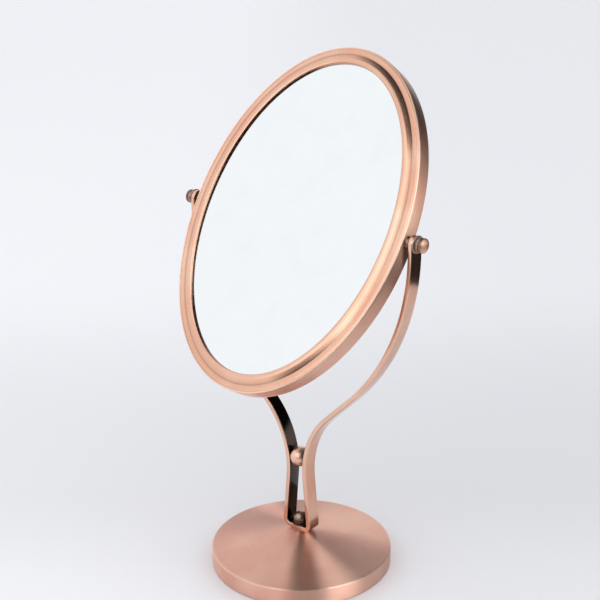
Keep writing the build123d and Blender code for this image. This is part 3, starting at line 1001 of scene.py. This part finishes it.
# The camera stands well to the right of the object's front and a little above it, and looks at a point
# just beside the object's axis.
CAMERA_AZIMUTH = radians(40.87)
CAMERA_ELEVATION = radians(18.73)
CAMERA_ROLL = radians(-0.5)
CAMERA_DISTANCE = 0.7553
TARGET_RIGHT = 0.00048
TARGET_HEIGHT = 0.1798
LENS = 73.6
SENSOR_WIDTH = 36.0

FLOOR_NEAR = 0.47
FLOOR_FAR = 9.0
FLOOR_SIDES = 96
# Painted shade on the floor: where it turns greyer, in metres behind the object or to its right, and by how
# much.
SHADE_BAND_START = (-0.06, 0.1)
SHADE_BAND_END = (0.2, 0.6)
SHADE_BAND = 0.5
SHADE_RIGHT = (-0.25, 0.3)
SHADE_ON_RIGHT = 0.35


def room_directions(n, vector):
    """How far a vector reaches to the right and straight away, as the photo's camera stands.

    Both directions are fixed in the room, so nothing built on them follows the camera in other views.
    """
    x, y, z = n.add("ShaderNodeSeparateXYZ", Vector=vector).outputs
    across, along = sin(CAMERA_AZIMUTH), cos(CAMERA_AZIMUTH)
    right = n.math("ADD", n.math("MULTIPLY", x, along), n.math("MULTIPLY", y, across))
    away = n.math("SUBTRACT", n.math("MULTIPLY", y, along), n.math("MULTIPLY", x, across))
    return right, away


def floor_paper():
    """Pale paper with painted shade: slightly greyer in a soft band behind the object and towards the right.
    """
    material, n = new_material("floor_paper")
    fibre = clouds(n, 900.0, detail=4.0)
    paper = n.mix(n.spread(fibre, 0.3, 0.7, 0.0, 1.0), rgb(238, 239, 243), rgb(242, 243, 247))
    rightwards, behind = room_directions(n, n.add("ShaderNodeTexCoord").outputs["Object"])
    band_start = n.spread(behind, *SHADE_BAND_START, 0.0, SHADE_BAND)
    band = n.math("MULTIPLY", band_start, n.spread(behind, *SHADE_BAND_END, 1.0, 0.0))
    shade = n.math("ADD", band, n.spread(rightwards, *SHADE_RIGHT, 0.0, SHADE_ON_RIGHT))
    colour = n.mix(shade, paper, rgb(217, 218, 222))
    relief = n.add("ShaderNodeBump", Strength=0.05, Distance=MARK_DEPTH, Height=fibre)
    surface(n, Base_Color=colour, Roughness=0.75, Normal=relief.outputs[0], Specular_IOR_Level=0.2)
    return material


def floor_circle(edit, radius):
    """New points round the origin, on the floor."""
    turns = [2 * pi * i / FLOOR_SIDES for i in range(FLOOR_SIDES)]
    return [edit.verts.new((radius * cos(turn), radius * sin(turn), 0)) for turn in turns]


def floor_sheet(name, material, outer, inner=None):
    """A round sheet on the floor, or a flat ring where inner is given."""
    mesh = bpy.data.meshes.new(name)
    edit = bmesh.new()
    rim = floor_circle(edit, outer)
    if inner:
        hole = floor_circle(edit, inner)
        for i in range(FLOOR_SIDES):
            k = (i + 1) % FLOOR_SIDES
            edit.faces.new((rim[i], rim[k], hole[k], hole[i]))
    else:
        edit.faces.new(rim)
    edit.to_mesh(mesh)
    edit.free()
    mesh.materials.append(material)
    sheet = bpy.data.objects.new(name, mesh)
    bpy.context.scene.collection.objects.link(sheet)
    return sheet


def floor():
    """A wide pale sheet. The near part is seen in the metal, the far part only by the camera."""
    paper = floor_paper()
    floor_sheet("floor_near", paper, FLOOR_NEAR)
    far = floor_sheet("floor_far", paper, FLOOR_FAR, FLOOR_NEAR)
    far.visible_glossy = False
    far.visible_diffuse = False
    far.visible_shadow = False


def camera():
    """The camera, on its azimuth and elevation and at its distance from the target."""
    level_back = Vector((sin(CAMERA_AZIMUTH), -cos(CAMERA_AZIMUTH), 0))
    back = level_back * cos(CAMERA_ELEVATION) + UP * sin(CAMERA_ELEVATION)
    right = Vector((cos(CAMERA_AZIMUTH), sin(CAMERA_AZIMUTH), 0))
    up = back.cross(right)
    place = right * TARGET_RIGHT + UP * TARGET_HEIGHT + back * CAMERA_DISTANCE
    facing = Matrix((right, up, back)).transposed().to_4x4()
    data = bpy.data.cameras.new("camera")
    data.sensor_width = SENSOR_WIDTH
    data.lens = LENS
    eye = bpy.data.objects.new("camera", data)
    bpy.context.scene.collection.objects.link(eye)
    eye.matrix_world = Matrix.Translation(place) @ facing @ Matrix.Rotation(CAMERA_ROLL, 4, "Z")
    bpy.context.scene.camera = eye


ROOM_LEVEL = 0.03
PAPER_LEVEL = 1.01
COOL_TINT = 1.02
COOL_TINT_EVEN = 1.01
BACKDROP = rgb(235, 236, 241)
# What the metal sees round the table, later entries over earlier ones: the pale backdrop, an upper and a
# lower screen on the left, a soft box on the upper screen with a brighter end towards the camera, a strong
# soft box on the right towards the camera, and a low panel on the right. Azimuths are in degrees to the
# right of straight behind the object as the camera sees it, and elevations in degrees above the table. The
# two numbers of "soft" are half the width of the side edges, and of the lower and upper edges.
SCREENS = (
    {"azimuth": (-75.0, 28.0), "elevation": (-90.0, 55.0), "soft": (2.0, 6.0), "level": 0.90},
    {"azimuth": (-162.0, -45.0), "elevation": (8.0, 63.0), "soft": (4.0, 3.0), "level": 0.96},
    {"azimuth": (-128.0, -45.0), "elevation": (-90.0, 14.0), "soft": (7.0, 3.0), "level": 0.96},
    {"azimuth": (-158.0, -104.0), "elevation": (14.0, 62.0), "soft": (3.0, 3.0), "level": 1.6},
    {"azimuth": (-158.0, -140.0), "elevation": (14.0, 62.0), "soft": (3.0, 3.0), "level": 2.4},
    {"azimuth": (107.0, 148.0), "elevation": (2.0, 60.0), "soft": (3.0, 3.0), "level": 2.9},
    {"azimuth": (70.0, 107.0), "elevation": (-8.0, 12.0), "soft": (4.0, 4.0), "level": 0.9},
)


def between(n, angle, edges, soft):
    """1 between two edges and 0 outside them, with a soft change over each edge."""
    first, last = edges
    rise = n.spread(angle, first - soft, first + soft, 0.0, 1.0)
    fall = n.spread(angle, last - soft, last + soft, 1.0, 0.0)
    return n.math("MULTIPLY", rise, fall)


def world():
    """A dark room with screens and soft boxes, which the metal sees. Matt surfaces get even light."""
    sky = bpy.data.worlds.new("studio")
    sky.use_nodes = True
    sky.cycles.sampling_method = "NONE"
    bpy.context.scene.world = sky
    n = Nodes(sky.node_tree)
    direction = n.add("ShaderNodeTexCoord").outputs["Generated"]
    z = n.add("ShaderNodeSeparateXYZ", Vector=direction).outputs[2]
    right, away = room_directions(n, direction)
    azimuth = n.math("MULTIPLY", n.math("ARCTAN2", right, away), 180 / pi)
    elevation = n.math("MULTIPLY", n.math("ARCSINE", z), 180 / pi)
    level = ROOM_LEVEL
    for screen in SCREENS:
        soft_side, soft_top = screen["soft"]
        inside = n.math(
            "MULTIPLY",
            between(n, azimuth, screen["azimuth"], soft_side),
            between(n, elevation, screen["elevation"], soft_top),
        )
        gain = n.math("SUBTRACT", screen["level"], level)
        level = n.math("ADD", level, n.math("MULTIPLY", gain, inside))
    blue = n.math("MULTIPLY", level, COOL_TINT)
    seen = n.add("ShaderNodeCombineColor", Red=level, Green=level, Blue=blue)
    even = (PAPER_LEVEL, PAPER_LEVEL, PAPER_LEVEL * COOL_TINT_EVEN, 1.0)
    path = n.add("ShaderNodeLightPath")
    colour = n.mix(path.outputs["Is Diffuse Ray"], seen.outputs[0], even)
    colour = n.mix(path.outputs["Is Camera Ray"], colour, BACKDROP)
    light = n.add("ShaderNodeBackground", Color=colour, Strength=1.0)
    n.add("ShaderNodeOutputWorld", Surface=light.outputs[0])


def lamp(name, place, aim, size, power):
    """A square soft box that isn't seen in the metal."""
    data = bpy.data.lights.new(name, "AREA")
    data.shape = "SQUARE"
    data.size = size
    data.energy = power
    light = bpy.data.objects.new(name, data)
    bpy.context.scene.collection.objects.link(light)
    light.visible_glossy = False
    light.location = place
    light.rotation_euler = (aim - place).to_track_quat("-Z", "Y").to_euler()


floor()
camera()
world()
lamp("key", Vector((-1.1, -0.5, 1.2)), Vector((0, 0, 0.15)), size=0.8, power=1.2)
bpy.context.scene.view_settings.view_transform = "Standard"
